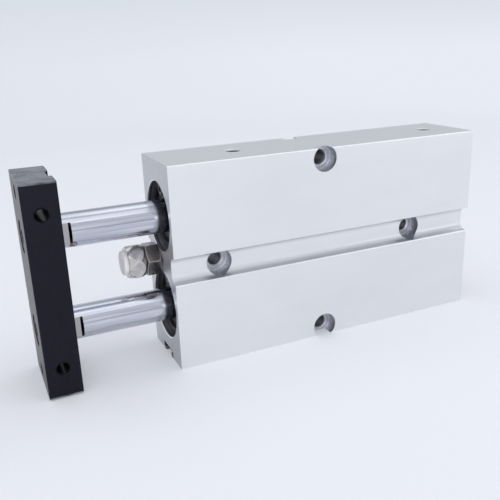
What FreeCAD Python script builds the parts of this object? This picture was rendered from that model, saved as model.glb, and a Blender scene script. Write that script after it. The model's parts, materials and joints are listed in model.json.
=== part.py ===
import FreeCAD, Part
import math
import os
import re
import Sketcher
from FreeCAD import Vector

# Twin-rod guided pneumatic cylinder, 20 mm bore, 50 mm stroke. Millimetres.
# +X runs from the end plate to the rear of the block, Y is the mounting
# direction and +Z points to the side with the ports. The origin is the
# centre of the mounting hole pattern, half way through the block.

SIZES = {
    # block
    "body_thickness": 25,
    "body_width": 62,
    "front_to_pattern": 50,
    "bore_diameter": 20,
    "rod_pitch": 28,
    "edge_radius": 0.4,
    "mouth_chamfer": 0.3,
    "channel_width": 8,
    "channel_depth": 3,
    "channel_radius": 2.2,
    "slot_neck": 5.2,
    "slot_inside": 8.8,
    "slot_lip": 1.2,
    "slot_depth": 2.4,
    "mount_spacing_length": 70,
    "mount_spacing_width": 55.4,
    "mount_drill": 4.2,
    "mount_mouth": 5.2,
    "counterbore_diameter": 8,
    "counterbore_depth": 3.8,
    "port_drill": 4.2,
    "port_mouth": 5.1,
    "port_depth": 5,
    "passage_diameter": 3,
    "port_inset": 2,
    "port_land": 0.5,
    # travel of the plate from where it stands, and what is left at each end
    "extend_travel": 32.5,
    "retract_travel": 17.5,
    "extend_clearance": 0.1,
    "retract_clearance": 0.9,
    "stop_clearance": 0.15,
    # fits
    "running_clearance": 0.05,
    "seat_clearance": 0.02,
    # circlips, each in a groove inside a slightly wider end of its bore
    "front_recess": 2,
    "rear_recess": 1,
    "recess_step": 0.6,
    "circlip_thickness": 1,
    "circlip_play": 0.1,
    "circlip_seat": 1.1,
    "circlip_band": 2.35,
    "circlip_offset": 0.55,
    "circlip_gap": 1.8,
    "lug_diameter": 3.6,
    "lug_hole": 1.7,
    "lug_height": 7.4,
    # rod cover
    "cover_length": 24,
    "cover_chamfer": 0.5,
    "nose_length": 4.5,
    "nose_diameter": 15,
    "lip_bore": 10.8,
    "front_lip": 1.2,
    "inner_lip": 0.6,
    "gland_length": 4,
    "gland_diameter": 16,
    "bush_outside": 12,
    "bush_chamfer": 0.3,
    "ring_place": 12,
    "ring_groove_width": 2.4,
    "ring_groove_depth": 1.7,
    "seal_play": 0.1,
    "seal_lip": 0.8,
    "seal_notch": 2.2,
    # rear cover
    "rear_cover_length": 7,
    "rear_ring_place": 2.3,
    # rod
    "rod_diameter": 10,
    "rod_flats": 8,
    "flat_reach": 2.6,
    "flat_runout": 0.5,
    "rod_chamfer": 0.3,
    "spigot_diameter": 6,
    "spigot_end": 0.8,
    "rod_thread_depth": 13,
    "drill_point_slope": 31,
    # piston
    "piston_length": 13.5,
    "piston_chamfer": 0.4,
    "front_bumper_length": 2,
    "bumper_outside": 16,
    "seal_groove_place": 2.5,
    "seal_groove_width": 3,
    "seal_groove_depth": 2.5,
    "magnet_groove_place": 7,
    "magnet_groove_width": 2.5,
    "magnet_groove_depth": 3,
    "magnet_depth": 0.4,
    "wear_groove_place": 10.7,
    "wear_groove_width": 1.8,
    "wear_groove_depth": 0.8,
    "wear_gap": 1,
    "piston_nut_flats": 10,
    "piston_nut_length": 4,
    "rear_bumper_length": 5.5,
    "rear_bumper_outside": 17,
    "rear_bumper_inside": 12.4,
    # end plate
    "plate_thickness": 9.5,
    "plate_depth": 24,
    "plate_width": 61,
    "plate_edge": 0.3,
    "seat_depth": 1,
    "screw_diameter": 5,
    "screw_length": 12,
    "screw_end_chamfer": 0.5,
    "screw_hole": 5.5,
    "screw_head": 8.5,
    "screw_head_length": 5,
    "screw_head_edge": 0.4,
    "screw_head_sink": 0.2,
    "screw_head_room": 9.5,
    "screw_socket": 4,
    "screw_socket_depth": 2.6,
    "plate_tap_drill": 3.3,
    "plate_tap_mouth": 4.2,
    "front_tap_spacing": 53,
    "side_tap_spacing": 44,
    # hexagons: chamfers begin at a share of the flats and clear the corners
    "nut_chamfer_share": 0.475,
    "nut_chamfer_angle": 30,
    "corner_share": 0.6,
    "nut_thread_chamfer": 0.4,
    # adjustable stop on the front of the block, off centre to clear the bores
    "stop_offset": 4,
    "stop_thread": 6,
    "stop_thread_mouth": 6.6,
    "stop_hole_depth": 10.5,
    "stop_shank": 15,
    "stop_end_chamfer": 0.6,
    "stop_flats": 9.8,
    "stop_head_length": 5,
    "stop_head_turn": 15,
    "stop_head_gap": 0.4,
    "crown_share": 0.478,
    "crown_angle": 68,
    "head_back_share": 0.494,
    "head_back_angle": 60,
    "lock_nut_flats": 9.2,
    "lock_nut_length": 4.6,
    "lock_nut_turn": 7,
    "stop_bumper_diameter": 7.6,
    "stop_bumper_length": 1.35,
    "stop_bumper_edge": 0.5,
    "bumper_bend": 0.3,
    "stop_stem_diameter": 3,
    "stop_stem_length": 2.5,
}

DERIVED = {
    "cover_front": "front_recess + circlip_thickness",
    "cover_end": "cover_front + cover_length",
    "front_port_place": "cover_end - port_inset",
    "piston_front": "cover_end + extend_clearance + extend_travel + front_bumper_length",
    "piston_rear": "piston_front + piston_length",
    "rear_cover_front": "piston_rear + rear_bumper_length + retract_travel + retract_clearance",
    "rear_cover_end": "rear_cover_front + rear_cover_length",
    "body_length": "rear_cover_end + circlip_thickness + rear_recess",
    "rear_port_place": "rear_cover_front - port_land - passage_diameter / 2",
    "stop_reach": "lock_nut_length + stop_head_gap + stop_head_length + stop_bumper_length",
    "rest_gap": "stop_reach + stop_clearance + retract_travel",
    "rod_length": "seat_depth + rest_gap + piston_front",
    "spigot_length": "piston_length + piston_nut_length + spigot_end",
    "bore_radius": "bore_diameter / 2",
    "cover_radius": "bore_radius - seat_clearance",
    "piston_radius": "bore_radius - running_clearance",
    "rod_radius": "rod_diameter / 2",
    "spigot_radius": "spigot_diameter / 2",
    "ring_floor": "bore_radius - ring_groove_depth",
    "screw_seat": "screw_head_length + screw_head_sink",
    "plate_back": "-front_to_pattern - rest_gap",
}

NEAR = 1e-3

doc = FreeCAD.newDocument("guided_cylinder")


def write_sheet():
    """Put the driving sizes, then what follows from them, in one sheet."""
    sheet = doc.addObject("Spreadsheet::Sheet", "Dimensions")
    rows = [(name, str(value)) for name, value in SIZES.items()]
    rows += [(name, "=" + formula) for name, formula in DERIVED.items()]
    for row, (name, content) in enumerate(rows, 1):
        sheet.set("A%d" % row, name)
        sheet.set("B%d" % row, content)
        sheet.setAlias("B%d" % row, name)
    doc.recompute()


def bound(formula):
    """Point every word of a formula, functions apart, at the sheet."""
    return re.sub(r"\b([a-z]\w*)\b(?!\()", r"Dimensions.\1", formula)


def new_body(label):
    return doc.addObject("PartDesign::Body", label)


def place(body, along="0", up="0", across="0"):
    for axis, formula in zip("xyz", (along, across, up)):
        body.setExpression("Placement.Base." + axis, bound(formula))


def sketch(body, name, plane, along="0", up="0", off="0"):
    """Sketch on an origin plane; along and up shift it in that plane."""
    made = body.newObject("Sketcher::SketchObject", name)
    roles = {feature.Role: feature for feature in body.Origin.OriginFeatures}
    made.AttachmentSupport = [(roles[plane], "")]
    made.MapMode = "FlatFace"
    for axis, formula in zip("xyz", (along, up, off)):
        made.setExpression("AttachmentOffset.Base." + axis, bound(formula))
    return made


def tie(made, kind, geometry, point, value, formula):
    """Measure one point from the sketch origin and bind it to a formula."""
    rule = Sketcher.Constraint(kind, -1, 1, geometry, point, value)
    made.setExpression("Constraints[%d]" % made.addConstraint(rule), bound(formula))


def outline(made, points):
    """Closed outline through points, each a pair of formulas."""
    first = made.GeometryCount
    count = len(points)
    turns = [2 * math.pi * i / count for i in range(count)]
    spots = [Vector(math.cos(turn), math.sin(turn), 0) for turn in turns]
    for i in range(count):
        made.addGeometry(Part.LineSegment(spots[i], spots[(i + 1) % count]))
    for i in range(count):
        join = Sketcher.Constraint("Coincident", first + i, 2, first + (i + 1) % count, 1)
        made.addConstraint(join)
    for i, (across, up) in enumerate(points):
        tie(made, "DistanceX", first + i, 1, spots[i].x, across)
        tie(made, "DistanceY", first + i, 1, spots[i].y, up)


def circle(made, across, up, diameter):
    """Circle with its centre and diameter bound to formulas."""
    index = made.addGeometry(Part.Circle(Vector(1, 1, 0), Vector(0, 0, 1), 1))
    tie(made, "DistanceX", index, 3, 1, across)
    tie(made, "DistanceY", index, 3, 1, up)
    size = made.addConstraint(Sketcher.Constraint("Diameter", index, 2))
    made.setExpression("Constraints[%d]" % size, bound(diameter))


def turn(body, made, kind="Revolution", axis="H_Axis"):
    """Revolve a sketch about one of its own axes; a Groove removes material."""
    feature = body.newObject("PartDesign::" + kind, made.Name + "_turned")
    feature.Profile = made
    feature.ReferenceAxis = (made, [axis])
    feature.Angle = 360
    return feature


def extrude(body, made, length, kind="Pad", sides="One side", back=False):
    """Pad or pocket a sketch by a formula."""
    feature = body.newObject("PartDesign::" + kind, made.Name + "_" + kind.lower())
    feature.Profile = made
    feature.SideType = sides
    feature.Reversed = back
    feature.setExpression("Length", bound(length))
    return feature


def turned_body(label, points):
    """Body revolved about X from a profile of (x, radius) formulas."""
    body = new_body(label)
    made = sketch(body, label + "_profile", "XZ_Plane")
    outline(made, points)
    turn(body, made)
    return body


def bored(body, name, points, along="0", up="0", across="0"):
    """Turned cut about a line along X."""
    made = sketch(body, name, "XZ_Plane", along, up, "-" + across)
    outline(made, points)
    turn(body, made, "Groove")


def hexagon(made, flats, turned="0"):
    """Hexagon with two corners to the sides, then turned by an angle in degrees."""
    corner = flats + " / sqrt(3) * "
    angles = ["(%s + %d)" % (turned, step) for step in range(0, 360, 60)]
    outline(made, [(corner + "cos" + angle, corner + "sin" + angle) for angle in angles])


def corner_chamfer(body, name, flats, face, inward, share="nut_chamfer_share",
                   angle="nut_chamfer_angle"):
    """Turn the corners off a hexagon's end, from a share of its flats outward."""
    inner = flats + " * " + share
    outer = flats + " * corner_share"
    depth = "(" + outer + " - " + inner + ") * tan(" + angle + ")"
    bored(body, name, [(face, inner), (face, outer), (face + inward + depth, outer)])


# ---- block ------------------------------------------------------------------

def block_section(body):
    """Extruded section: centre channels on both wide faces, T-slot below."""
    made = sketch(body, "section", "YZ_Plane", off="-front_to_pattern")
    side, edge = "body_thickness / 2", "body_width / 2"
    wall = side + " - channel_depth"
    lip, floor = "-" + edge + " + slot_lip", "-" + edge + " + slot_depth"
    half = "channel_width / 2"
    right = [("slot_neck / 2", "-" + edge), (side, "-" + edge), (side, "-" + half),
             (wall, "-" + half), (wall, half), (side, half), (side, edge)]
    left = [("-(" + across + ")", up) for across, up in reversed(right)]
    slot = [("-slot_neck / 2", lip), ("-slot_inside / 2", lip), ("-slot_inside / 2", floor),
            ("slot_inside / 2", floor), ("slot_inside / 2", lip), ("slot_neck / 2", lip)]
    outline(made, right + left + slot)
    extrude(body, made, "body_length")


def round_long_edges(body, name, radius, places):
    """Round the edges along X that stand at the given distances from the axis."""
    doc.recompute()
    base = body.Tip
    names = []
    for index, edge in enumerate(base.Shape.Edges, 1):
        box, middle = edge.BoundBox, edge.CenterOfMass
        here = Vector(abs(middle.y), abs(middle.z), 0)
        miss = min(here.distanceToPoint(Vector(*spot, 0)) for spot in places)
        if box.YLength + box.ZLength + miss < NEAR:
            names.append("Edge%d" % index)
    fillet = body.newObject("PartDesign::Fillet", name)
    fillet.Base = (base, names)
    fillet.setExpression("Radius", bound(radius))


def rounded_section(body):
    """Fillets in the channel floors and small radii on the outer edges."""
    side, edge = SIZES["body_thickness"] / 2, SIZES["body_width"] / 2
    half = SIZES["channel_width"] / 2
    floor = side - SIZES["channel_depth"]
    round_long_edges(body, "channel_corners", "channel_radius", [(floor, half)])
    round_long_edges(body, "outer_edges", "edge_radius", [(side, half), (side, edge)])


def rod_bores(body):
    """Through bores, each with a wider end and a circlip groove front and rear."""
    radius, wide = "bore_radius", "bore_radius + recess_step"
    mouth, deep = wide + " + mouth_chamfer", "bore_radius + circlip_seat"
    inner_front = "front_recess + circlip_thickness + circlip_play"
    inner_rear = "rear_cover_end - circlip_play"
    outer_rear = "body_length - rear_recess"
    points = [("0", "0"), ("0", mouth), ("mouth_chamfer", wide),
              ("front_recess", wide), ("front_recess", deep),
              (inner_front, deep), (inner_front, radius),
              (inner_rear, radius), (inner_rear, deep),
              (outer_rear, deep), (outer_rear, wide),
              ("body_length - mouth_chamfer", wide), ("body_length", mouth),
              ("body_length", "0")]
    bored(body, "upper_bore", points, "-front_to_pattern", "rod_pitch / 2")
    bored(body, "lower_bore", points, "-front_to_pattern", "-rod_pitch / 2")


def mounting_hole(body, name, along, up, ledge):
    """Tapped hole through the block with a counterbore in each wide face."""
    made = sketch(body, name, "YZ_Plane", "0", up, along)
    face, wide = "body_thickness / 2", "counterbore_diameter / 2"
    mouth, drill = "mount_mouth / 2", "mount_drill / 2"
    sloped = ledge + " - (mount_mouth - mount_drill) / 2"
    half = [(sloped, drill), (ledge, mouth), (ledge, wide), (face, wide), (face, "0")]
    other = [("-(" + across + ")", up) for across, up in reversed(half)]
    outline(made, half + other)
    turn(body, made, "Groove")


def port(body, name, along):
    """Tapped air port on top with a drilled passage down to both bores."""
    made = sketch(body, name, "XZ_Plane", along)
    top = "body_width / 2"
    drill, passage = "port_drill / 2", "passage_diameter / 2"
    outline(made, [("0", top), ("port_mouth / 2", top),
                   (drill, top + " - (port_mouth - port_drill) / 2"),
                   (drill, top + " - port_depth"), (passage, top + " - port_depth"),
                   (passage, "-rod_pitch / 2"), ("0", "-rod_pitch / 2")])
    turn(body, made, "Groove", "V_Axis")


def cylinder_body():
    body = new_body("cylinder_body")
    block_section(body)
    rounded_section(body)
    rod_bores(body)
    bored(body, "stop_hole", [("0", "0"), ("0", "stop_thread_mouth / 2"),
                              ("(stop_thread_mouth - stop_thread) / 2", "stop_thread / 2"),
                              ("stop_hole_depth", "stop_thread / 2"),
                              ("stop_hole_depth", "0")],
          "-front_to_pattern", "0", "stop_offset")
    in_channel = "body_thickness / 2 - channel_depth - counterbore_depth"
    on_face = "body_thickness / 2 - counterbore_depth"
    mounting_hole(body, "front_mount", "-mount_spacing_length / 2", "0", in_channel)
    mounting_hole(body, "rear_mount", "mount_spacing_length / 2", "0", in_channel)
    mounting_hole(body, "top_mount", "0", "mount_spacing_width / 2", on_face)
    mounting_hole(body, "bottom_mount", "0", "-mount_spacing_width / 2", on_face)
    port(body, "front_port", "front_port_place - front_to_pattern")
    port(body, "rear_port", "rear_port_place - front_to_pattern")
    return body


# ---- what closes each bore --------------------------------------------------

def ring_groove(start, radius):
    """Profile points of an O-ring groove, cut from the left to the right."""
    end = start + " + ring_groove_width"
    return [(start, radius), (start, "ring_floor"), (end, "ring_floor"), (end, radius)]


def rod_cover(label):
    """Gland and bush housing; its nose keeps the front port open."""
    lip, gland = "lip_bore / 2", "gland_diameter / 2"
    gland_end = "front_lip + gland_length"
    seat_start = gland_end + " + inner_lip"
    seat = "bush_outside / 2 + seat_clearance"
    nose_start = "cover_length - nose_length"
    return turned_body(label, [
        ("0", lip), ("0", "cover_radius - cover_chamfer"), ("cover_chamfer", "cover_radius")]
        + ring_groove("ring_place", "cover_radius") + [
        (nose_start, "cover_radius"), (nose_start, "nose_diameter / 2"),
        ("cover_length", "nose_diameter / 2"), ("cover_length", seat), (seat_start, seat),
        (seat_start, lip), (gland_end, lip), (gland_end, gland), ("front_lip", gland),
        ("front_lip", lip)])


def rod_bushing(label):
    """Plain bush, flush with the nose of the rod cover."""
    length = "(cover_length - front_lip - gland_length - inner_lip)"
    inside, outside = "rod_radius + running_clearance", "bush_outside / 2"
    return turned_body(label, [
        ("0", inside + " + bush_chamfer"), ("0", outside), (length, outside),
        (length, inside + " + bush_chamfer"), (length + " - bush_chamfer", inside),
        ("bush_chamfer", inside)])


def lip_seal(label, length, inside, outside):
    """Seal ring with two lips that open toward the pressure side."""
    return turned_body(label, [
        ("0", inside), ("0", outside), (length, outside), (length, outside + " - seal_lip"),
        (length + " - seal_notch", "(" + inside + " + " + outside + ") / 2"),
        (length, inside + " + seal_lip"), (length, inside)])


def o_ring(label):
    """O-ring held between its groove floor and the bore."""
    body = new_body(label)
    made = sketch(body, label + "_cord", "XZ_Plane")
    circle(made, "0", "bore_radius - ring_groove_depth / 2",
           "ring_groove_depth - 2 * seat_clearance")
    turn(body, made)
    return body


def circlip(label):
    """Internal circlip: narrower toward its gap, with a holed lug on each end."""
    body = new_body(label)
    band = sketch(body, label + "_band", "YZ_Plane")
    outside = "bore_radius + circlip_seat - running_clearance"
    circle(band, "0", "0", "2 * (" + outside + ")")
    circle(band, "0", "circlip_offset", "2 * (" + outside + " - circlip_band)")
    extrude(body, band, "circlip_thickness")
    reach = "(circlip_gap + lug_diameter) / 2"
    for side, name in (("", "right"), ("-", "left")):
        lug = sketch(body, label + "_" + name + "_lug", "YZ_Plane")
        circle(lug, side + reach, "lug_height", "lug_diameter")
        extrude(body, lug, "circlip_thickness")
    holes = sketch(body, label + "_holes", "YZ_Plane")
    for side in ("", "-"):
        circle(holes, side + reach, "lug_height", "lug_hole")
    gap, top = "circlip_gap / 2", outside + " + circlip_band"
    outline(holes, [("-" + gap, "0"), (gap, "0"), (gap, top), ("-" + gap, top)])
    extrude(body, holes, "circlip_thickness", "Pocket", back=True)
    return body


def rear_cover(label):
    return turned_body(label, [
        ("0", "0"), ("0", "cover_radius - cover_chamfer"), ("cover_chamfer", "cover_radius")]
        + ring_groove("rear_ring_place", "cover_radius") + [
        ("rear_cover_length - cover_chamfer", "cover_radius"),
        ("rear_cover_length", "cover_radius - cover_chamfer"), ("rear_cover_length", "0")])


# ---- rod and piston ---------------------------------------------------------

def piston_rod(label):
    """Rod tapped for the plate screw, with wrench flats and a piston spigot."""
    tapped = "screw_diameter / 2 + seat_clearance"
    end = "(rod_length + spigot_length)"
    body = turned_body(label, [
        ("0", tapped), ("0", "rod_radius - rod_chamfer"), ("rod_chamfer", "rod_radius"),
        ("rod_length", "rod_radius"), ("rod_length", "spigot_radius"),
        (end + " - rod_chamfer", "spigot_radius"), (end, "spigot_radius - rod_chamfer"),
        (end, "0"), ("rod_thread_depth + (" + tapped + ") * tan(drill_point_slope)", "0"),
        ("rod_thread_depth", tapped)])
    flats = sketch(body, label + "_flats", "XY_Plane")
    for side in ("", "-"):
        outline(flats, [("0", side + "rod_flats / 2"),
                        ("seat_depth + flat_reach", side + "rod_flats / 2"),
                        ("seat_depth + flat_reach + flat_runout", side + "rod_diameter / 2"),
                        ("0", side + "rod_diameter / 2")])
    extrude(body, flats, "2 * rod_diameter", "Pocket", "Symmetric")
    return body


def piston(label):
    """Piston with its seal, magnet and wear ring grooves."""
    def groove(name):
        start, floor = name + "_groove_place", "bore_radius - " + name + "_groove_depth"
        end = start + " + " + name + "_groove_width"
        return [(start, "piston_radius"), (start, floor), (end, floor), (end, "piston_radius")]
    inside = "spigot_radius + seat_clearance"
    edge = "piston_radius - piston_chamfer"
    return turned_body(label, [("0", inside), ("0", edge), ("piston_chamfer", "piston_radius")]
                       + groove("seal") + groove("magnet") + groove("wear")
                       + [("piston_length - piston_chamfer", "piston_radius"),
                          ("piston_length", edge), ("piston_length", inside)])


def plain_ring(label, length, inside, outside):
    return turned_body(label, [("0", inside), ("0", outside), (length, outside),
                               (length, inside)])


def wear_ring(label):
    """Split guide band in the last piston groove."""
    body = plain_ring(label, "wear_groove_width",
                      "bore_radius - wear_groove_depth + seat_clearance", "piston_radius")
    split = sketch(body, label + "_split", "XY_Plane")
    outline(split, [("0", "-wear_gap / 2"), ("wear_groove_width", "-wear_gap / 2"),
                    ("wear_groove_width", "wear_gap / 2"), ("0", "wear_gap / 2")])
    extrude(body, split, "bore_diameter", "Pocket", back=True)
    return body


def hex_nut(label, flats, length, inside, turned="0"):
    """Hexagon nut, chamfered on both faces; its thread is eased at its far end."""
    body = new_body(label)
    made = sketch(body, label + "_hexagon", "YZ_Plane")
    hexagon(made, flats, turned)
    extrude(body, made, length)
    corner_chamfer(body, label + "_near_corners", flats, "0", " + ")
    corner_chamfer(body, label + "_far_corners", flats, length, " - ")
    hole = inside + " + seat_clearance"
    bored(body, label + "_thread", [
        ("0", "0"), ("0", hole), (length + " - nut_thread_chamfer", hole),
        (length, hole + " + nut_thread_chamfer"), (length, "0")])
    return body


# ---- end plate and its screws -----------------------------------------------

def plate_tap(body, name, plane, up, near, far, off="0"):
    """Tapped hole with a small chamfer at each mouth."""
    made = sketch(body, name, plane, off, up) if plane == "XZ_Plane" else sketch(
        body, name, plane, "0", up, off)
    drill, mouth = "plate_tap_drill / 2", "plate_tap_mouth / 2"
    slope = "(plate_tap_mouth - plate_tap_drill) / 2"
    outline(made, [(near, "0"), (near, mouth), (near + " + " + slope, drill),
                   (far + " - " + slope, drill), (far, mouth), (far, "0")])
    turn(body, made, "Groove")


def end_plate():
    """Plate with a seat channel for the rod flats and tapped holes for a load."""
    body = new_body("end_plate")
    section = sketch(body, "plate_section", "XY_Plane")
    side, seat = "plate_depth / 2", "(rod_flats / 2 + seat_clearance)"
    front, edge = "-plate_thickness", "plate_edge"
    half = [("-seat_depth", seat), ("0", seat), ("0", side + " - " + edge),
            ("-" + edge, side), (front + " + " + edge, side), (front, side + " - " + edge)]
    other = [(across, "-(" + up + ")") for across, up in reversed(half)]
    outline(section, half + other)
    extrude(body, section, "plate_width", "Pad", "Symmetric")
    for side_name, up in (("upper", "rod_pitch / 2"), ("lower", "-rod_pitch / 2")):
        bored(body, side_name + "_screw_hole", [
            (front, "0"), (front, "screw_head_room / 2"),
            (front + " + screw_seat", "screw_head_room / 2"),
            (front + " + screw_seat", "screw_hole / 2"),
            ("0", "screw_hole / 2"), ("0", "0")], "0", up)
    for side_name, sign in (("upper", ""), ("lower", "-")):
        plate_tap(body, side_name + "_front_tap", "XZ_Plane",
                  sign + "front_tap_spacing / 2", front, "-seat_depth")
        plate_tap(body, side_name + "_side_tap", "YZ_Plane", sign + "side_tap_spacing / 2",
                  "-plate_depth / 2", "plate_depth / 2", "-plate_thickness / 2")
    return body


def plate_screw(label):
    """Socket head cap screw that holds the plate to a rod; x = 0 is its seat."""
    head, shank = "screw_head / 2", "screw_diameter / 2"
    body = turned_body(label, [
        ("-screw_head_length", "0"), ("-screw_head_length", head + " - screw_head_edge"),
        ("-screw_head_length + screw_head_edge", head), ("0", head), ("0", shank),
        ("screw_length - screw_end_chamfer", shank),
        ("screw_length", shank + " - screw_end_chamfer"),
        ("screw_length", "0")])
    socket = sketch(body, label + "_socket", "YZ_Plane", off="-screw_head_length")
    hexagon(socket, "screw_socket")
    extrude(body, socket, "screw_socket_depth", "Pocket", back=True)
    return body


# ---- adjustable stop --------------------------------------------------------

def stop_screw():
    """Screw with a crowned hexagon head; x = 0 is the head's face to the block."""
    body = new_body("stop_screw")
    head = sketch(body, "stop_head", "YZ_Plane", off="-stop_head_length")
    hexagon(head, "stop_flats", "-stop_head_turn")
    extrude(body, head, "stop_head_length")
    corner_chamfer(body, "stop_head_crown", "stop_flats", "-stop_head_length", " + ",
                   "crown_share", "crown_angle")
    corner_chamfer(body, "stop_head_back", "stop_flats", "0", " - ",
                   "head_back_share", "head_back_angle")
    shank = sketch(body, "stop_shank_profile", "XZ_Plane")
    radius = "stop_thread / 2 - seat_clearance"
    outline(shank, [("-stop_head_length / 2", "0"), ("-stop_head_length / 2", radius),
                    ("stop_shank - stop_end_chamfer", radius),
                    ("stop_shank", radius + " - stop_end_chamfer"),
                    ("stop_shank", "0")])
    turn(body, shank)
    stem = "stop_stem_diameter / 2 + seat_clearance"
    bored(body, "stem_hole", [("-stop_head_length", "0"), ("-stop_head_length", stem),
                              ("-stop_head_length + stop_stem_length", stem),
                              ("-stop_head_length + stop_stem_length", "0")])
    return body


def stop_bumper():
    """Soft cap on the screw head with a stem pushed into it; x = 0 is its seat."""
    radius, front = "stop_bumper_diameter / 2", "-stop_bumper_length"
    return turned_body("stop_bumper", [
        (front, "0"), (front, radius + " - stop_bumper_edge"),
        (front + " + stop_bumper_edge * bumper_bend",
         radius + " - stop_bumper_edge * bumper_bend"),
        (front + " + stop_bumper_edge", radius), ("0", radius),
        ("0", "stop_stem_diameter / 2"), ("stop_stem_length", "stop_stem_diameter / 2"),
        ("stop_stem_length", "0")])


# ---- assembly ---------------------------------------------------------------

def bore_set(side, up):
    """Everything that lies on one rod axis, placed from the front of the block."""
    front = "-front_to_pattern + "
    made = []

    def add(builder, name, along, *sizes):
        body = builder(side + "_" + name, *sizes)
        place(body, front + along, up)
        made.append(body)
        return body

    inside, gland = "rod_radius + running_clearance", "gland_diameter / 2 - seat_clearance"
    add(rod_cover, "rod_cover", "cover_front")
    add(rod_bushing, "rod_bushing", "cover_front + front_lip + gland_length + inner_lip")
    add(lip_seal, "rod_seal", "cover_front + front_lip + seal_play",
        "(gland_length - 2 * seal_play)", inside, gland)
    add(o_ring, "cover_o_ring", "cover_front + ring_place + ring_groove_width / 2")
    add(circlip, "front_circlip", "front_recess")
    add(rear_cover, "rear_cover", "rear_cover_front")
    add(o_ring, "rear_o_ring", "rear_cover_front + rear_ring_place + ring_groove_width / 2")
    add(circlip, "rear_circlip", "rear_cover_end")
    add(piston_rod, "piston_rod", "piston_front - rod_length")
    add(piston, "piston", "piston_front")
    add(lip_seal, "piston_seal", "piston_front + seal_groove_place", "seal_groove_width",
        "bore_radius - seal_groove_depth + seat_clearance", "piston_radius")
    add(plain_ring, "magnet_ring", "piston_front + magnet_groove_place",
        "magnet_groove_width", "bore_radius - magnet_groove_depth + seat_clearance",
        "piston_radius - magnet_depth")
    add(wear_ring, "wear_ring", "piston_front + wear_groove_place")
    add(plain_ring, "front_bumper", "piston_front - front_bumper_length",
        "front_bumper_length", "rod_radius + seat_clearance", "bumper_outside / 2")
    add(plain_ring, "rear_bumper", "piston_rear", "rear_bumper_length",
        "rear_bumper_inside / 2", "rear_bumper_outside / 2")
    add(hex_nut, "piston_nut", "piston_rear", "piston_nut_flats", "piston_nut_length",
        "spigot_radius")
    return made


def plate_screws():
    """Both plate screws as one group of separate solids."""
    pair = []
    for side, up in (("upper", "rod_pitch / 2"), ("lower", "-rod_pitch / 2")):
        body = plate_screw(side + "_plate_screw")
        place(body, "plate_back - plate_thickness + screw_seat", up)
        pair.append(body)
    group = doc.addObject("Part::Compound", "plate_screws")
    group.Links = pair
    return group


def stop_group():
    """Lock nut against the block, screw through it, soft cap on the screw."""
    nut = hex_nut("lock_nut", "lock_nut_flats", "lock_nut_length", "stop_thread / 2",
                  "lock_nut_turn")
    nut.Placement = FreeCAD.Placement(Vector(0, 0, 0), FreeCAD.Rotation(Vector(0, 0, 1), 180))
    place(nut, "-front_to_pattern", "0", "stop_offset")
    screw = stop_screw()
    head_back = "-front_to_pattern - lock_nut_length - stop_head_gap"
    place(screw, head_back, "0", "stop_offset")
    cap = stop_bumper()
    place(cap, head_back + " - stop_head_length", "0", "stop_offset")
    return [screw, nut, cap]


def check(nodes):
    """Stop if a feature failed or a node is not a valid solid."""
    for item in doc.Objects:
        if "Invalid" in item.State or "Error" in item.State:
            raise RuntimeError("failed: " + item.Label)
    for node in nodes:
        if node.Shape.isNull() or not node.Shape.isValid() or not node.Shape.Solids:
            raise RuntimeError("no valid solid: " + node.Label)


write_sheet()
nodes = [cylinder_body(), end_plate(), plate_screws()]
place(nodes[1], "plate_back")
nodes += stop_group()
nodes += bore_set("upper", "rod_pitch / 2")
nodes += bore_set("lower", "-rod_pitch / 2")
doc.recompute()
check(nodes)
os.makedirs("parts", exist_ok=True)
for node in nodes:
    node.Shape.exportStep("parts/" + node.Label + ".step")
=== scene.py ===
import bpy
import json
import math
from mathutils import Matrix, Vector


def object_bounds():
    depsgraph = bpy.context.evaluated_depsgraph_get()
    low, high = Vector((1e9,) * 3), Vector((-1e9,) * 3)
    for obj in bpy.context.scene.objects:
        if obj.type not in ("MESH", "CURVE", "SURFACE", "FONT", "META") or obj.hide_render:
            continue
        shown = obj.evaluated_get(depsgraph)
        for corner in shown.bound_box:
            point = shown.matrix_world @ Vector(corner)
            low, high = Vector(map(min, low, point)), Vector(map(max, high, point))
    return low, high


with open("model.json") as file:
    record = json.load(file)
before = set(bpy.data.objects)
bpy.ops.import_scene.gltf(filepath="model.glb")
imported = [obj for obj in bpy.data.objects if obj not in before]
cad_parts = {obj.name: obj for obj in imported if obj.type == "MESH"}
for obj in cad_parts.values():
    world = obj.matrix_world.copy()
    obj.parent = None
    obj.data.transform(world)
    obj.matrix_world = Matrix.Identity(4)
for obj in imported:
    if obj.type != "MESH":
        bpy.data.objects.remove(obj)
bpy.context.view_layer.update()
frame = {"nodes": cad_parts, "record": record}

MM = 0.001
X, Y, Z = 0, 1, 2

# Features of the solids that the materials pick out. Each place is the pair of
# coordinates across the feature's own axis.
MOUNT_HOLES = [(x * MM, z * MM) for x, z in ((-35, 0), (35, 0), (0, 27.7), (0, -27.7))]
SEAT_HEIGHTS = [y * MM for y in (5.6, 5.6, 8.6, 8.6)]    # counterbores lie beyond these |y|
BORES = [(0, 14 * MM), (0, -14 * MM)]
STOP_HOLE = (4 * MM, 0)
PORTS = [(-25 * MM, 0), (47 * MM, 0)]
PLATE_SIDE_TAPS = [(-83.75 * MM, 22 * MM), (-83.75 * MM, -22 * MM)]
PLATE_FRONT_TAPS = [(0, 26.5 * MM), (0, -26.5 * MM)]
M4_PITCH, M5_PITCH = 0.7 * MM, 0.8 * MM


def rgb(red, green, blue):
    return (red, green, blue, 1.0)


# What a camera sees past the sweep, and the tone that the sweep's edges fade to.
BEYOND = rgb(0.765, 0.795, 0.87)


# ---- node helpers -----------------------------------------------------------

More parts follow.
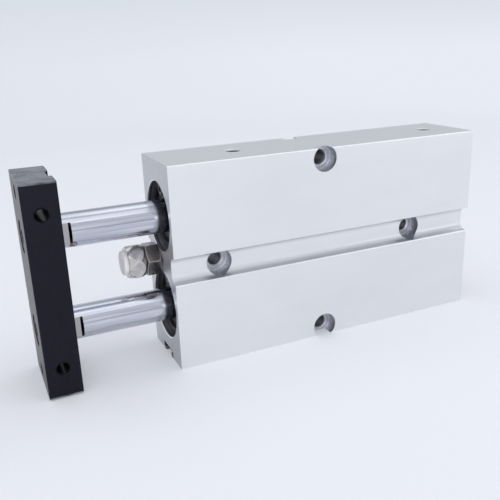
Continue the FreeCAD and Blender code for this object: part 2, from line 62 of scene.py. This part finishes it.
class Nodes:
    """Short way to write a node tree."""

    def __init__(self, tree, place="Object"):
        self.tree = tree
        self.place = self.add("ShaderNodeTexCoord").outputs[place]
        self.parts = None

    def add(self, kind, **settings):
        node = self.tree.nodes.new(kind)
        for key, value in settings.items():
            setattr(node, key, value)
        return node

    def feed(self, socket, value):
        """Link a socket to another one, or give it a constant."""
        if isinstance(value, bpy.types.NodeSocket):
            self.tree.links.new(value, socket)
        else:
            socket.default_value = value

    def math(self, operation, first, second=0.0, third=0.0):
        node = self.add("ShaderNodeMath", operation=operation)
        for socket, value in zip(node.inputs, (first, second, third)):
            self.feed(socket, value)
        return node.outputs[0]

    def times(self, first, second):
        return self.math("MULTIPLY", first, second)

    def below(self, value, limit):
        return self.math("LESS_THAN", value, limit)

    def above(self, value, limit):
        return self.math("GREATER_THAN", value, limit)

    def any_of(self, masks):
        total = masks[0]
        for mask in masks[1:]:
            total = self.math("MAXIMUM", total, mask)
        return total

    def axis(self, index):
        if self.parts is None:
            self.parts = self.add("ShaderNodeSeparateXYZ")
            self.feed(self.parts.inputs[0], self.place)
        return self.parts.outputs[index]

    def size(self, index):
        """A coordinate without its sign."""
        return self.math("ABSOLUTE", self.axis(index))

    def noise(self, size, detail=4.0, stretch=(1, 1, 1)):
        """Noise in 0..1 with features of about this size in metres."""
        scale = self.add("ShaderNodeMapping")
        scale.inputs["Scale"].default_value = [share / size for share in stretch]
        self.feed(scale.inputs["Vector"], self.place)
        node = self.add("ShaderNodeTexNoise")
        self.feed(node.inputs["Vector"], scale.outputs[0])
        node.inputs["Scale"].default_value = 1.0
        node.inputs["Detail"].default_value = detail
        node.inputs["Roughness"].default_value = 0.55
        return node.outputs["Fac"]

    def ramp(self, value, low, high, out_low=0.0, out_high=1.0):
        node = self.add("ShaderNodeMapRange")
        for name, number in (("Value", value), ("From Min", low), ("From Max", high),
                             ("To Min", out_low), ("To Max", out_high)):
            self.feed(node.inputs[name], number)
        return node.outputs[0]

    def mix(self, factor, first, second):
        """Blend two colours."""
        node = self.add("ShaderNodeMix", data_type="RGBA")
        self.feed(node.inputs["Factor"], factor)
        for name, value in (("A", first), ("B", second)):
            socket = next(s for s in node.inputs if s.name == name and s.type == "RGBA")
            self.feed(socket, value)
        return next(s for s in node.outputs if s.type == "RGBA")

    def layers(self, color, coats):
        """Lay (mask, colour) pairs over a colour, the last on top."""
        for mask, coat in coats:
            color = self.mix(mask, color, coat)
        return color

    def bump(self, height, strength, distance, under=None):
        node = self.add("ShaderNodeBump")
        node.inputs["Strength"].default_value = strength
        node.inputs["Distance"].default_value = distance
        self.feed(node.inputs["Height"], height)
        if under is not None:
            self.feed(node.inputs["Normal"], under)
        return node.outputs["Normal"]

    def near_axis(self, across, up, centre, radius):
        """1 inside a cylinder around a line given by its two other coordinates."""
        first = self.math("SUBTRACT", self.axis(across), centre[0])
        second = self.math("SUBTRACT", self.axis(up), centre[1])
        square = self.math("ADD", self.times(first, first), self.times(second, second))
        return self.below(square, radius * radius)

    def ring(self, across, up, centre, inner, outer):
        """1 between two radii around a line."""
        wide = self.near_axis(across, up, centre, outer)
        return self.math("SUBTRACT", wide, self.near_axis(across, up, centre, inner))

    def threads(self, lines, under):
        """Ridges on the walls of tapped holes; each line is (along, centre, radius, pitch)."""
        height = 0.0
        for along, centre, radius, pitch in lines:
            across, up = [index for index in range(3) if index != along]
            inside = self.near_axis(across, up, centre, radius)
            turn = self.times(self.axis(along), 2 * math.pi / pitch)
            wave = self.math("MULTIPLY_ADD", self.math("SINE", turn), 0.5, 0.5)
            height = self.math("MULTIPLY_ADD", inside, wave, height)
        return self.bump(height, 1.0, 0.25 * MM, under)


class Material(Nodes):
    """Node tree of a new material around its principled shader."""

    made = {}    # by slot, because the frame's own materials already have the slots' names

    def __init__(self, name):
        self.material = bpy.data.materials.new(name)
        self.made[name] = self.material
        self.material.use_nodes = True
        super().__init__(self.material.node_tree)
        self.shader = self.tree.nodes["Principled BSDF"]

    def finish(self, **values):
        """Fill in the shader."""
        names = {"color": "Base Color", "rough": "Roughness", "metal": "Metallic",
                 "normal": "Normal", "ior": "IOR", "tint": "Specular Tint",
                 "specular": "Specular IOR Level"}
        for key, value in values.items():
            self.feed(self.shader.inputs[names[key]], value)


# ---- materials --------------------------------------------------------------

def block_aluminium():
    """Clear anodised extrusion: fine blasted grain, faint lines along it, machined holes;
    painted shade in the holes, bores, slot and channel and on the ends, painted highlights on
    the rounded edges and hole rims.
    """
    nodes = Material("block_aluminium")
    depth, height = nodes.size(Y), nodes.size(Z)
    grain = nodes.noise(0.25 * MM, 3.0)
    lines = nodes.noise(0.35 * MM, 4.0, (0.012, 1, 1))
    cloud = nodes.noise(18 * MM, 3.0, (0.4, 1, 1))
    mottle = nodes.noise(0.6 * MM)
    turned = nodes.noise(0.5 * MM, 3.0, (1, 0.02, 0.02))

    # machined places, where shade is painted in: mounting holes with their counterbores, bores,
    # ports, stop hole
    sinks = [nodes.times(nodes.near_axis(X, Z, hole, 4.03 * MM), nodes.above(depth, seat))
             for hole, seat in zip(MOUNT_HOLES, SEAT_HEIGHTS)]
    stop = nodes.times(nodes.near_axis(Y, Z, STOP_HOLE, 3.1 * MM),
                       nodes.below(nodes.axis(X), -30 * MM))
    ports = [nodes.near_axis(X, Y, port, 2.3 * MM) for port in PORTS]
    sunk = nodes.any_of(sinks)
    seats = nodes.any_of([nodes.ring(X, Z, hole, 2.7 * MM, 3.7 * MM) for hole in MOUNT_HOLES])
    # painted highlights: thin light rings at the hole's chamfer and at the counterbore floor's
    # outer corner
    hole_edge_highlight = nodes.any_of([nodes.ring(X, Z, hole, inner * MM, outer * MM)
                            for hole in MOUNT_HOLES
                            for inner, outer in ((2.15, 2.7), (3.7, 3.97))])
    drilled = nodes.any_of([nodes.near_axis(X, Z, hole, 2.15 * MM) for hole in MOUNT_HOLES])
    bores = nodes.any_of([nodes.near_axis(Y, Z, bore, 10.64 * MM) for bore in BORES])
    # painted highlight: a light ring at each bore mouth
    mouth_highlight = nodes.any_of([nodes.ring(Y, Z, bore, 10.62 * MM, 10.93 * MM) for bore in BORES])
    slot = nodes.times(nodes.below(depth, 4.5 * MM), nodes.below(nodes.axis(Z), -28.4 * MM))

    # painted shade on the end faces and in the channel towards its walls, and painted
    # highlights on the rounded edges
    # painted shade: the end faces are coloured darker, mottled
    ends = nodes.any_of([nodes.below(nodes.axis(X), -49.97 * MM),
                         nodes.above(nodes.axis(X), 57.97 * MM)])
    ends = nodes.times(ends, nodes.ramp(mottle, 0.30, 0.70, 0.72, 1.0))
    # painted shade: the channel darkens towards its upper and lower walls
    channel_shade = nodes.times(nodes.ramp(height, 1.9 * MM, 3.7 * MM, 0.0, 0.85),
                         nodes.below(height, 4.05 * MM))
    channel_shade = nodes.times(channel_shade, nodes.math("COMPARE", depth, 10.75 * MM, 1.45 * MM))
    facing = nodes.add("ShaderNodeSeparateXYZ")
    nodes.feed(facing.inputs[0], nodes.add("ShaderNodeNewGeometry").outputs["True Normal"])
    square = nodes.any_of([nodes.math("ABSOLUTE", facing.outputs[i]) for i in (X, Y, Z)])
    # painted highlight: the rounded long edges beside the wide faces are coloured near white
    rim_highlight = nodes.times(nodes.below(square, 0.985), nodes.above(depth, 12.02 * MM))

    color = nodes.mix(nodes.ramp(cloud, 0.3, 0.7),
                      rgb(0.86, 0.87, 0.885), rgb(0.90, 0.91, 0.925))
    # painted shade: the walls of the holes, ports and stop hole are coloured a darker, mottled
    # grey
    recess_shade = nodes.mix(nodes.ramp(mottle, 0.35, 0.65),
                    rgb(0.34, 0.35, 0.40), rgb(0.58, 0.59, 0.64))
    # painted shade: the bore walls are coloured dark, with turned rings
    rings = nodes.mix(nodes.ramp(turned, 0.40, 0.60),
                      rgb(0.11, 0.115, 0.135), rgb(0.42, 0.425, 0.46))
    color = nodes.layers(color, [
        # painted shade in the channel
        (channel_shade, rgb(0.60, 0.615, 0.65)),
        # painted highlight on the rounded edges
        (rim_highlight, rgb(0.99, 0.99, 1.0)),
        # painted shade on the end faces
        (ends, rgb(0.60, 0.61, 0.63)),
        # painted shade in the recesses
        (nodes.any_of(sinks + [stop] + ports), recess_shade),
        # the counterbore floors are painted lighter than their walls, as if lit
        (nodes.times(nodes.times(seats, sunk), 0.55), rgb(0.82, 0.83, 0.86)),
        (bores, rings),
        # painted shade inside the T-slot
        (slot, rgb(0.20, 0.205, 0.22)),
        # painted highlight at the bore mouths
        (mouth_highlight, rgb(0.97, 0.97, 0.98)),
        # painted shade deep in the drilled holes
        (drilled, rgb(0.24, 0.245, 0.275)),
        # painted highlights at the hole edges
        (nodes.times(hole_edge_highlight, sunk), rgb(0.90, 0.90, 0.92)),
    ])
    rough = nodes.math("MULTIPLY_ADD", rim_highlight, -0.12, nodes.ramp(lines, 0.3, 0.7, 0.36, 0.44))
    fine = nodes.bump(grain, 0.10, 0.02 * MM)
    drawn = nodes.bump(lines, 0.12, 0.03 * MM, fine)
    tapped = [(Y, hole, 2.4 * MM, M5_PITCH) for hole in MOUNT_HOLES]
    tapped += [(Z, port, 2.4 * MM, M5_PITCH) for port in PORTS]
    normal = nodes.threads(tapped, drawn)
    nodes.finish(color=color, metal=0.92, rough=rough, normal=normal)


def plate_black():
    """Black anodised plate: brushed faces, and painted reflection on its top and bottom ends.
    """
    nodes = Material("plate_black")
    grain = nodes.noise(0.22 * MM, 3.0)
    brush = nodes.noise(0.3 * MM, 4.0, (1, 1, 0.03))
    patches = nodes.noise(3.5 * MM)
    # painted reflection: the top and bottom ends are coloured a lighter grey in patches, as
    # black anodising looks at a grazing angle
    ends = nodes.above(nodes.size(Z), 30.1 * MM)
    painted_highlight = nodes.times(ends, nodes.ramp(patches, 0.32, 0.62, 0.35, 1.0))
    color = nodes.mix(nodes.ramp(brush, 0.3, 0.7),
                      rgb(0.003, 0.003, 0.006), rgb(0.006, 0.006, 0.011))
    color = nodes.mix(painted_highlight, color, rgb(0.21, 0.22, 0.245))
    fine = nodes.bump(grain, 0.12, 0.02 * MM)
    drawn = nodes.bump(brush, 0.10, 0.03 * MM, fine)
    tapped = [(Y, tap, 1.9 * MM, M4_PITCH) for tap in PLATE_SIDE_TAPS]
    tapped += [(X, tap, 1.9 * MM, M4_PITCH) for tap in PLATE_FRONT_TAPS]
    normal = nodes.threads(tapped, drawn)
    rough = nodes.ramp(grain, 0.3, 0.7, 0.26, 0.36)
    nodes.finish(color=color, rough=rough, normal=normal, ior=1.34,
                 tint=rgb(0.78, 0.76, 0.98))


def rod_chrome():
    """Hard chrome, ground and a little streaked along the rod; darker on the flats, with
    painted shade in the step at their end and rust by one flat.
    """
    nodes = Material("rod_chrome")
    rings = nodes.noise(0.12 * MM, 3.0, (1, 0.05, 0.05))
    streaks = nodes.noise(0.9 * MM, 4.0, (0.03, 1, 1))
    stain = nodes.noise(1.2 * MM, 5.0)
    side = nodes.above(nodes.size(Y), 3.95 * MM)
    flats = nodes.times(nodes.below(nodes.axis(X), -76.3 * MM), side)
    # painted shade: a near-black band where the flats step down
    step = nodes.times(nodes.math("COMPARE", nodes.axis(X), -76.15 * MM, 0.36 * MM), side)
    rust = nodes.times(nodes.ramp(stain, 0.40, 0.55, 0.2, 1.0),
                       nodes.near_axis(X, Z, (-75.6 * MM, 10.6 * MM), 1.1 * MM))
    color = nodes.mix(nodes.ramp(streaks, 0.35, 0.65),
                      rgb(0.76, 0.78, 0.845), rgb(0.545, 0.565, 0.64))
    color = nodes.layers(color, [(flats, rgb(0.47, 0.45, 0.46)),
                                 # painted shade in the flats' step
                                 (step, rgb(0.02, 0.018, 0.02)),
                                 (rust, rgb(0.20, 0.11, 0.07))])
    normal = nodes.bump(streaks, 0.10, 0.05 * MM, nodes.bump(rings, 0.05, 0.01 * MM))
    rough = nodes.ramp(streaks, 0.3, 0.7, 0.13, 0.20)
    nodes.finish(color=color, metal=1.0, rough=rough, normal=normal)


def plated(name, light, dark, low, high, ridge_highlight=None):
    """Metal whose plating has clouded between two tones and two roughnesses; a ridge
    colour is painted highlight on the edges that the bevel rounds."""
    nodes = Material(name)
    cloud = nodes.noise(2.2 * MM, 5.0)
    grain = nodes.noise(0.18 * MM, 3.0)
    color = nodes.mix(nodes.ramp(cloud, 0.35, 0.65), light, dark)
    rounded = None
    if ridge_highlight is not None:
        edge = nodes.add("ShaderNodeBevel", samples=8)
        edge.inputs["Radius"].default_value = 0.22 * MM
        rounded = edge.outputs[0]
        along = nodes.add("ShaderNodeVectorMath", operation="DOT_PRODUCT")
        nodes.feed(along.inputs[0], rounded)
        nodes.feed(along.inputs[1],
                   nodes.add("ShaderNodeNewGeometry").outputs["True Normal"])
        # painted highlight: edges that the bevel rounds are coloured lighter
        painted_highlight = nodes.ramp(along.outputs["Value"], 0.995, 0.965)
        color = nodes.mix(painted_highlight, color, ridge_highlight)
    normal = nodes.bump(grain, 0.15, 0.02 * MM, rounded)
    rough = nodes.ramp(grain, 0.3, 0.7, low, high)
    nodes.finish(color=color, metal=1.0, rough=rough, normal=normal)


def clear_urethane():
    """Cloudy pale cap."""
    nodes = Material("clear_urethane")
    cloud = nodes.noise(1.5 * MM, 3.0)
    color = nodes.mix(cloud, rgb(0.96, 0.93, 0.935), rgb(0.99, 0.965, 0.97))
    rough = nodes.ramp(cloud, 0.3, 0.7, 0.30, 0.42)
    nodes.finish(color=color, rough=rough, ior=1.45)


def dull(name, first, second):
    """Rubber or filled plastic, mottled between two tones."""
    nodes = Material(name)
    cloud = nodes.noise(0.8 * MM)
    grain = nodes.noise(0.12 * MM, 2.0)
    color = nodes.mix(cloud, first, second)
    rough = nodes.ramp(cloud, 0.3, 0.7, 0.5, 0.65)
    normal = nodes.bump(grain, 0.15, 0.02 * MM)
    nodes.finish(color=color, rough=rough, normal=normal)


def dress_nodes():
    """Give each CAD node the material of its slot."""
    block_aluminium()
    plate_black()
    rod_chrome()
    plated("screw_steel", rgb(0.05, 0.05, 0.055), rgb(0.08, 0.08, 0.085), 0.35, 0.5)
    # the last colour given to the stop and the nut is painted highlight on their edges
    plated("stop_nickel", rgb(0.78, 0.745, 0.72), rgb(0.52, 0.495, 0.48), 0.17, 0.28,
           rgb(0.85, 0.82, 0.80))
    plated("nut_nickel", rgb(0.36, 0.335, 0.33), rgb(0.23, 0.215, 0.21), 0.22, 0.34,
           rgb(0.80, 0.76, 0.74))
    clear_urethane()
    plated("cover_aluminium", rgb(0.16, 0.16, 0.17), rgb(0.10, 0.10, 0.11), 0.35, 0.5)
    plated("bush_bronze", rgb(0.48, 0.34, 0.18), rgb(0.38, 0.26, 0.14), 0.3, 0.45)
    dull("seal_rubber", rgb(0.012, 0.012, 0.013), rgb(0.02, 0.02, 0.022))
    plated("circlip_steel", rgb(0.12, 0.12, 0.13), rgb(0.07, 0.07, 0.075), 0.3, 0.45)
    plated("piston_aluminium", rgb(0.70, 0.71, 0.73), rgb(0.62, 0.63, 0.65), 0.25, 0.35)
    dull("magnet_bonded", rgb(0.05, 0.05, 0.05), rgb(0.08, 0.08, 0.08))
    dull("wear_band", rgb(0.12, 0.07, 0.04), rgb(0.18, 0.11, 0.06))
    dull("urethane", rgb(0.40, 0.36, 0.22), rgb(0.48, 0.43, 0.28))
    slots = {part["node"]: part["material_slot"] for part in frame["record"]["subparts"]}
    for name, thing in frame["nodes"].items():
        thing.data.materials.clear()
        thing.data.materials.append(Material.made[slots[name]])


# ---- surroundings -----------------------------------------------------------

def add_to_scene(name, data):
    thing = bpy.data.objects.new(name, data)
    bpy.context.scene.collection.objects.link(thing)
    return thing


def backdrop():
    """Pale sweep: a floor that curves up into a wall behind the object."""
    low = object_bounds()[0][2]
    front, start, radius, top, half_width, steps = -1.6, 0.75, 0.6, 1.6, 2.6, 16
    profile = [(front, low), (start, low)]
    for step in range(1, steps + 1):
        angle = math.pi / 2 * step / steps
        profile.append((start + radius * math.sin(angle), low + radius * (1 - math.cos(angle))))
    profile.append((start + radius, top))
    points = [(x, y, z) for x in (-half_width, half_width) for y, z in profile]
    count = len(profile)
    faces = [(i, i + count, i + count + 1, i + 1) for i in range(count - 1)]
    mesh = bpy.data.meshes.new("sweep")
    mesh.from_pydata(points, [], faces)
    mesh.shade_smooth()
    mesh.materials.append(sweep_paper())
    sweep = add_to_scene("sweep", mesh)


def sweep_paper():
    """Paper that takes the object's shadow and is an even pale tone farther out."""
    nodes = Material("sweep_paper")
    soft = nodes.noise(0.6, 2.0)
    color = nodes.mix(nodes.ramp(soft, 0.3, 0.7),
                      rgb(0.94, 0.945, 0.97), rgb(0.955, 0.96, 0.985))
    nodes.finish(color=color, rough=0.9, specular=0.0)

    # rays that look at the paper, straight or in a reflection
    path = nodes.add("ShaderNodeLightPath").outputs
    looks = nodes.math("ADD", path["Is Camera Ray"], path["Is Glossy Ray"])
    looks = nodes.math("ADD", looks, path["Is Transmission Ray"])
    seen = nodes.math("MINIMUM", looks, 1.0)

    # distance from the object over the floor, and the paper's own tone out there
    flat = nodes.times(nodes.axis(X), nodes.axis(X))
    away = nodes.math("SQRT", nodes.math("MULTIPLY_ADD", nodes.axis(Y), nodes.axis(Y), flat))
    level = nodes.mix(nodes.ramp(nodes.axis(X), -0.3, 0.6),
                      rgb(0.73, 0.765, 0.84), rgb(0.81, 0.835, 0.905))
    level = nodes.layers(level, [
        (nodes.ramp(nodes.axis(Z), 0.02, 0.20), rgb(0.66, 0.71, 0.77)),
        (nodes.ramp(nodes.axis(Z), 0.20, 0.60), rgb(0.46, 0.48, 0.52)),
    ])
    # painted shade in reflections: near the object, glossy rays see the paper's glow darker
    # than the camera does
    close = nodes.mix(path["Is Glossy Ray"], rgb(0.90, 0.93, 1.0), rgb(0.52, 0.54, 0.58))
    level = nodes.mix(nodes.ramp(away, 0.15, 0.45), close, level)
    edge = nodes.math("MAXIMUM", nodes.ramp(nodes.size(X), 1.5, 2.5),
                      nodes.ramp(nodes.axis(Y), -0.8, -1.5))
    level = nodes.mix(edge, level, BEYOND)

    glow = nodes.add("ShaderNodeEmission")
    nodes.feed(glow.inputs["Color"], level)
    far = nodes.times(nodes.ramp(away, 0.25, 0.65), seen)
    near = nodes.times(seen, 0.22)
    blend = nodes.add("ShaderNodeMixShader")
    nodes.feed(blend.inputs[0], nodes.math("MAXIMUM", far, near))
    nodes.feed(blend.inputs[1], nodes.shader.outputs[0])
    nodes.feed(blend.inputs[2], glow.outputs[0])
    nodes.feed(nodes.tree.nodes["Material Output"].inputs["Surface"], blend.outputs[0])
    return nodes.material


def studio_world():
    """Soft sky that is darker at the horizon; cameras see an even pale tone."""
    world = bpy.data.worlds.new("studio")
    world.use_nodes = True
    nodes = Nodes(world.node_tree, "Generated")
    sky = nodes.mix(nodes.ramp(nodes.axis(Z), 0.03, 0.16),
                    rgb(0.34, 0.35, 0.39), rgb(0.66, 0.68, 0.73))
    looks = nodes.add("ShaderNodeLightPath").outputs["Is Camera Ray"]
    nodes.feed(nodes.tree.nodes["Background"].inputs["Color"], nodes.mix(looks, sky, BEYOND))
    bpy.context.scene.world = world


def lamps():
    """Two soft boxes over the object and two in front, all aimed at the origin."""
    for name, place, size, watts in (
            ("overhead_near", (0.10, -0.36, 0.95), (1.9, 0.52), 1.45),
            ("overhead_far", (0.10, 0.34, 0.95), (1.9, 0.48), 1.35),
            ("front_left", (-0.26, -0.95, 0.12), (0.4, 0.5), 2.4),
            ("front_right", (0.72, -0.80, 0.12), (0.4, 0.5), 0.6)):
        data = bpy.data.lights.new(name, "AREA")
        data.shape = "RECTANGLE"
        data.size, data.size_y = size
        data.energy = watts
        lamp = add_to_scene(name, data)
        lamp.location = place
        lamp.rotation_euler = (-Vector(place)).to_track_quat("-Z", "Y").to_euler()


def camera():
    """The camera that was fitted to the photo."""
    data = bpy.data.cameras.new("camera")
    data.sensor_width = 36.0
    data.lens = 46.02
    data.shift_x = -0.0079
    data.shift_y = -0.0048
    data.clip_start = 0.01
    right = Vector((0.90392, -0.42649, -0.03203))
    up = Vector((0.16255, 0.27332, 0.94809))
    turn = Matrix((right, up, right.cross(up))).transposed().to_4x4()
    thing = add_to_scene("camera", data)
    thing.matrix_world = Matrix.Translation((-0.10062, -0.17771, 0.06416)) @ turn
    bpy.context.scene.camera = thing


dress_nodes()
backdrop()
studio_world()
lamps()
camera()
bpy.context.scene.view_settings.view_transform = "Standard"
